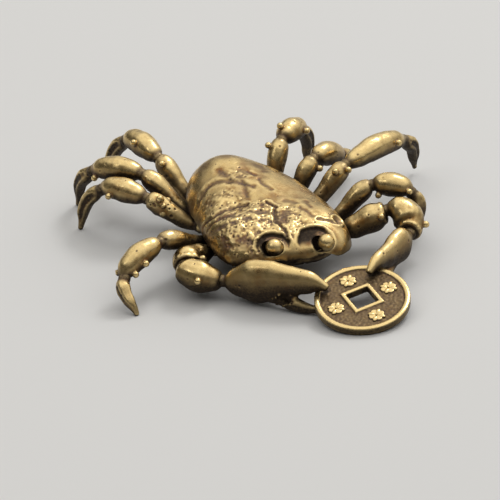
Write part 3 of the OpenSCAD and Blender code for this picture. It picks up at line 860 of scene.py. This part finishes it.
class CRAB_OT_legs(bpy.types.Operator):
    """Makes the eight walking legs, three pieces each"""

    bl_idname = "crab.legs"
    bl_label = "Legs"

    # How far the facets of each piece are melted away
    melt = {"upper": 34, "lower": 34, "foot": 14}
    # The one piece that came out of the mould with lumps near its knee
    lumpy = "right_leg_2_upper"

    def execute(self, context):
        finish, detail, _ = settings(context)
        material = brass(finish, "Leg brass", 4)
        tree = solid_tree(frame["nodes"])
        growth = stud_growth()
        values = {"Radius": detail.stud, "Material": material}
        for number, leg in enumerate(LEGS):
            before = ["thorax"]
            for part in LEG_PARTS:
                name = f"{leg}_{part}"
                after = {"upper": [f"{leg}_lower"], "lower": [f"{leg}_foot"]}.get(part)
                wax, studs = bare_limb([name], detail.voxel, self.melt[part])
                wax.push(-0.1 * bell(distance(wax.points, solid_tree(before), 3), 0.8))
                if after:
                    wax.push(-0.24 * bell(distance(wax.points, solid_tree(after), 3), 0.9))
                wax = with_balls(wax, detail.voxel, growth, values, neck([name], before), studs)
                patina_and_shade = 0.5 * self.shape_foot(wax, before) if part == "foot" else 0.0
                roughen(wax, 1.3 * detail.wobble, 3 * number + len(part), 6)
                if name == self.lumpy:
                    knee = distance(wax.points, solid_tree(after), 9)
                    scatter(wax, bell(knee - 2.0, 1.6), 14, 0.5, -0.26, 5)
                    scatter(wax, bell(knee - 3.0, 2.4), 26, 0.24, 0.16, 6)
                    # Darker away from the knee
                    patina_and_shade = 0.5 * ease(knee / 2.5 - 1.2)
                finish_limb(wax, tree, before + (after or []), studs, patina_and_shade, 0.56, 0.12 * (part == "foot"))
                place_piece(wax, name + "_cast", material, [name])
                before = [name]
        return {"FINISHED"}

    def shape_foot(self, wax, before):
        """Runs a pitted groove down each side of the foot, and returns how far each point lies in one."""
        root = distance(wax.points, solid_tree(before), 3)
        span = wax.points[wax.points[:, 2].argmin()] - wax.points[root.argmin()]
        side = np.cross((0, 0, 1), span)
        side /= np.linalg.norm(side)
        facing = np.abs(wax.normals() @ side)
        fade = ease((root - 0.7) / 1.5) * ease((wax.points[:, 2] - 1.2) / 2)
        groove = fade * bell(facing - 1, 0.1)
        wax.push(0.12 * fade * bell(facing - 0.6, 0.25) - 0.3 * groove)
        scatter(wax, groove, 12, 0.16, 0.12, len(wax.points))
        return groove


class CRAB_OT_claws(bpy.types.Operator):
    """Makes the two claws: an arm, a wrist and a hand each"""

    bl_idname = "crab.claws"
    bl_label = "Claws"

    # Heights of the pitted rims round the far ends, in millimetres
    rims = {"right_claw_arm": 0.3, "left_claw_arm": 0.2, "left_claw_wrist": 0.24}
    # Middle of the hole between the right claw's fingers, where a shadow is painted, and half its width,
    # height and depth
    jaw = (-6.6, -22.4, 2.4)
    jaw_size = (1.35, 0.8, 2.5)

    def execute(self, context):
        finish, detail, _ = settings(context)
        material = brass(finish, "Claw brass", 5)
        tree = solid_tree(frame["nodes"])
        growth = stud_growth()
        values = {"Radius": detail.stud, "Material": material}
        for number, claw in enumerate(CLAWS):
            before = ["thorax"]
            later = {"arm": [f"{claw}_wrist"], "wrist": [f"{claw}_palm"]}
            for part, solids in (("arm", ["arm"]), ("wrist", ["wrist"]), ("hand", ["palm", "finger"])):
                names = [f"{claw}_{solid}" for solid in solids]
                hand = part == "hand"
                wax, studs = bare_limb(names, detail.voxel, 56 if hand else 40, 0.12 if hand else 0)
                root = distance(wax.points, solid_tree(before), 3)
                wax.push(-0.36 * bell(root, 1.6) if hand else -0.1 * bell(root, 0.8))
                after = later.get(part)
                if after:
                    end = distance(wax.points, solid_tree(after), 3)
                    rim = self.rims.get(names[0], 0.0)
                    pinch = 0.2 * bell(end, 0.6) if rim else 0.3 * bell(end, 1.4)
                    wax.push(rim * bell(end - 1.0, 0.4) - pinch)
                    scatter(wax, rim * bell(end - 1.0, 0.35), 26, 0.18, 0.12, 40 + number)
                wax = with_balls(wax, detail.voxel, growth, values, neck(names, before), studs)
                roughen(wax, detail.wobble * (0.4 if hand else 1.0), 30 + 5 * number + len(part), 10)
                patina_and_shade = 0.0
                if names[0] in self.rims:
                    patina_and_shade = -0.5 * bell(distance(wax.points, solid_tree(after), 3) - 1.0, 0.4)
                if names[0] == "right_claw_palm":
                    # Painted shadow in the hole between the fingers, and painted shade darker towards the
                    # bottom of the hand
                    patina_and_shade = 1.3 * self.open_jaw(wax) + 0.65 * ease((3.4 - wax.points[:, 2]) / 1.6)
                finish_limb(wax, tree, before + (after or []), studs, patina_and_shade, 0.72)
                place_piece(wax, f"{claw}_{part}_cast", material, names)
                before = names
        return {"FINISHED"}

    def open_jaw(self, wax):
        """Sinks the toothed hole between the fingers, and returns how far each point lies in it, where its
        shadow is painted.
        """
        away = wax.points - self.jaw
        ways = (VIEW_RIGHT, VIEW_UP, VIEW_AWAY)
        far = np.sqrt(sum((away @ way / size) ** 2 for way, size in zip(ways, self.jaw_size)))
        scatter(wax, bell(far - 1.15, 0.15), 12, 0.32, -0.35, 3)
        inside = bell(far, 0.9)
        wax.push(-1.1 * inside)
        return ease(inside * 2.2 - 0.4)


class CRAB_OT_coin(bpy.types.Operator):
    """Makes the coin with its rim, its framed square hole and four plain blossoms"""

    bl_idname = "crab.coin"
    bl_label = "Coin"

    def execute(self, context):
        finish, detail, _ = settings(context)
        material = brass(finish, "Coin brass", 6, 0.24, 0.4)
        form = merged_copy("coin")
        points = read_points(form)
        middle = points.mean(axis=0)
        axes = np.linalg.svd(points - middle, full_matrices=False)[2]
        face = axes[2] * np.sign(axes[2][2])
        flat = points - middle - np.outer((points - middle) @ face, face)
        away = np.linalg.norm(flat, axis=1)
        corner = flat[away.argmin()]
        u = corner / np.linalg.norm(corner)
        v = np.cross(face, u)
        hole, radius = away.min() / math.sqrt(2), away.max()
        thick = np.abs((points - middle) @ face).max()
        rows = np.array([(u - v), (u + v), face * math.sqrt(2)]) / math.sqrt(2)
        blossoms = self.blossoms(middle, rows, (radius + hole) / 2 - 0.05, thick - 0.2, material)
        mesh = joined([fine_mesh(form, 0.1, 3), blossoms])
        wax = Wax(mesh)
        x, y, z = ((wax.points - middle) @ rows.T).T
        out = np.hypot(x, y)
        square = np.maximum(np.abs(x), np.abs(y))
        rim = ease((out - radius + 1.15) / 0.3)
        border = ease((hole + 0.95 - square) / 0.3)
        top = z > 0
        field = (1 - rim) * (1 - border) * ease((thick - 0.08 - z) / 0.08) * top
        wax.push(top * (0.12 * bell(out - radius + 0.45, 0.3) + 0.08 * bell(square - hole - 0.35, 0.25)))
        wax.push(field * (0.05 * unevenness(wax.points, 0.5, 9) - 0.05))
        wall = ease(1.2 - 2 * np.abs(wax.normals() @ face)) * ease((out - radius + 0.6) / 0.4)
        finish_wax(
            wax, solid_tree(frame["nodes"]), deep=0.05, shine=0.55, dusty=0.85 * field,
            patina_and_shade=0.5 * field + 0.1 * wall)
        place_piece(wax, "held_coin", material, ["coin"])
        return {"FINISHED"}

    def blossoms(self, middle, rows, ring, height, material):
        """Four petals and a heart at each of four places round the hole."""
        growth = Growth("Blossoms", {"Petal": "NodeSocketVector", "Material": "NodeSocketMaterial"})
        ball = growth.add("GeometryNodeMeshUVSphere", {"Segments": 24, "Rings": 16, "Radius": 1.0})
        ball = ball.outputs[0]
        petal = growth.moved(growth.moved(ball, scale=growth.given["Petal"]), place=(0.9, 0, 0))
        petals = [growth.moved(petal, turn=(0, 0, math.radians(90 * k + 45))) for k in range(4)]
        heart = growth.moved(ball, scale=(0.3, 0.3, 0.4))
        flower = growth.together((*petals, heart))
        growth.finish(growth.copies(growth.given["Points"], flower, growth.facing("X")))
        turns = [math.radians(90 * k) for k in range(4)]
        spots = [(ring * math.cos(t), ring * math.sin(t), height) for t in turns]
        ways = [(math.cos(t), math.sin(t), 0) for t in turns]
        mesh = growth.grow(spots, ways, {"Petal": (0.72, 0.46, 0.34), "Material": material})
        place = Matrix(rows.T.tolist()).to_4x4()
        place.translation = Vector(middle)
        mesh.transform(place)
        return mesh


class CRAB_OT_stage(bpy.types.Operator):
    """Sets up the camera, the floor, the sky and the soft lights"""

    bl_idname = "crab.stage"
    bl_label = "Studio"

    def execute(self, context):
        _, _, studio = settings(context)
        self.camera(context, studio)
        self.floor(studio)
        self.sky(context, studio)
        self.light("Key", studio.key, 0.2, (0.35, 0.22, 0.53))
        self.light("Fill", studio.fill, 0.16, (-0.4, -0.05, 0.42))
        context.scene.view_settings.view_transform = "Standard"
        return {"FINISHED"}

    def camera(self, context, studio):
        a, e, roll = studio.azimuth, studio.elevation, studio.roll
        back = Vector((math.sin(a) * math.cos(e), -math.cos(a) * math.cos(e), math.sin(e)))
        right = Vector((math.cos(a), math.sin(a), 0))
        up = back.cross(right)
        across = right * math.cos(roll) - up * math.sin(roll)
        above = right * math.sin(roll) + up * math.cos(roll)
        data = bpy.data.cameras.new("Camera")
        data.lens = studio.lens
        distance = studio.view_width * studio.lens / data.sensor_width
        turn = Matrix((across, above, back)).transposed().to_4x4()
        camera = bpy.data.objects.new("Camera", data)
        camera.matrix_world = Matrix.Translation(Vector(studio.aim) + back * distance) @ turn
        context.collection.objects.link(camera)
        context.scene.camera = camera

    def floor(self, studio):
        bpy.ops.mesh.primitive_plane_add(size=6)
        floor = bpy.context.object
        floor.name = "floor"
        material = bpy.data.materials.new("Pale floor")
        nodes = Nodes(material)
        nodes.shader.inputs["Base Color"].default_value = (*studio.floor, 1)
        nodes.shader.inputs["Roughness"].default_value = 0.8
        floor.data.materials.append(material)

    def sky(self, context, studio):
        """Soft light from a dim side up to a bright ceiling, with a pale strip along the horizon."""
        world = bpy.data.worlds.new("Studio")
        world.use_nodes = True
        sky = Tree(world.node_tree)
        way = sky.add("ShaderNodeTexCoord").outputs["Generated"]
        leaning_up = {0: way, 1: (0.32, 0.18, 0.93)}
        height = sky.add("ShaderNodeVectorMath", leaning_up, operation="DOT_PRODUCT").outputs["Value"]
        ceiling = sky.add("ShaderNodeMapRange", {
            "Value": height, "From Min": 0.15, "From Max": 0.95,
            "To Min": studio.horizon, "To Max": studio.ceiling}, interpolation_type="SMOOTHSTEP").outputs[0]
        level = sky.add("ShaderNodeSeparateXYZ", {"Vector": way}).outputs["Z"]
        strip = sky.add("ShaderNodeMapRange", {
            "Value": level, "From Min": 0.02, "From Max": 0.06,
            "To Min": 0.8 * studio.floor[0], "To Max": 0.0}).outputs[0]
        strength = sky.add("ShaderNodeMath", {0: ceiling, 1: strip}, operation="MAXIMUM").outputs[0]
        glow = sky.tree.nodes["Background"]
        glow.inputs["Color"].default_value = (1, 0.98, 0.95, 1)
        sky.tree.links.new(strength, glow.inputs["Strength"])
        context.scene.world = world

    def light(self, name, power, size, place):
        data = bpy.data.lights.new(name, "AREA")
        data.shape = "DISK"
        data.size = size
        data.energy = power
        light = bpy.data.objects.new(name, data)
        light.location = place
        light.rotation_mode = "QUATERNION"
        light.rotation_quaternion = Vector(place).to_track_quat("Z", "Y")
        bpy.context.collection.objects.link(light)


class CRAB_PT_panel(bpy.types.Panel):
    """Lists the crab's pieces and settings"""

    bl_label = "Brass Crab"
    bl_idname = "CRAB_PT_panel"
    bl_space_type = "VIEW_3D"
    bl_region_type = "UI"
    bl_category = "Crab"

    def draw(self, context):
        for operator in PIECE_OPERATORS:
            self.layout.operator(operator.bl_idname)
        for group in settings(context):
            for name in group.__annotations__:
                self.layout.prop(group, name)


GROUPS = {"crab_finish": BrassFinish, "crab_detail": CastDetail, "crab_studio": Studio}
PIECE_OPERATORS = (
    CRAB_OT_stage, CRAB_OT_shell, CRAB_OT_underbody, CRAB_OT_eyes, CRAB_OT_legs, CRAB_OT_claws,
    CRAB_OT_coin)


def register():
    for kind in (*GROUPS.values(), *PIECE_OPERATORS, CRAB_PT_panel):
        bpy.utils.register_class(kind)
    for name, group in GROUPS.items():
        setattr(bpy.types.Scene, name, PointerProperty(type=group))


def unregister():
    for name in GROUPS:
        delattr(bpy.types.Scene, name)
    for kind in reversed((*GROUPS.values(), *PIECE_OPERATORS, CRAB_PT_panel)):
        bpy.utils.unregister_class(kind)


def main():
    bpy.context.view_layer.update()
    register()
    bpy.ops.crab.stage()
    bpy.ops.crab.shell()
    bpy.ops.crab.underbody()
    bpy.ops.crab.eyes()
    bpy.ops.crab.legs()
    bpy.ops.crab.claws()
    bpy.ops.crab.coin()


if __name__ == "__main__":
    main()
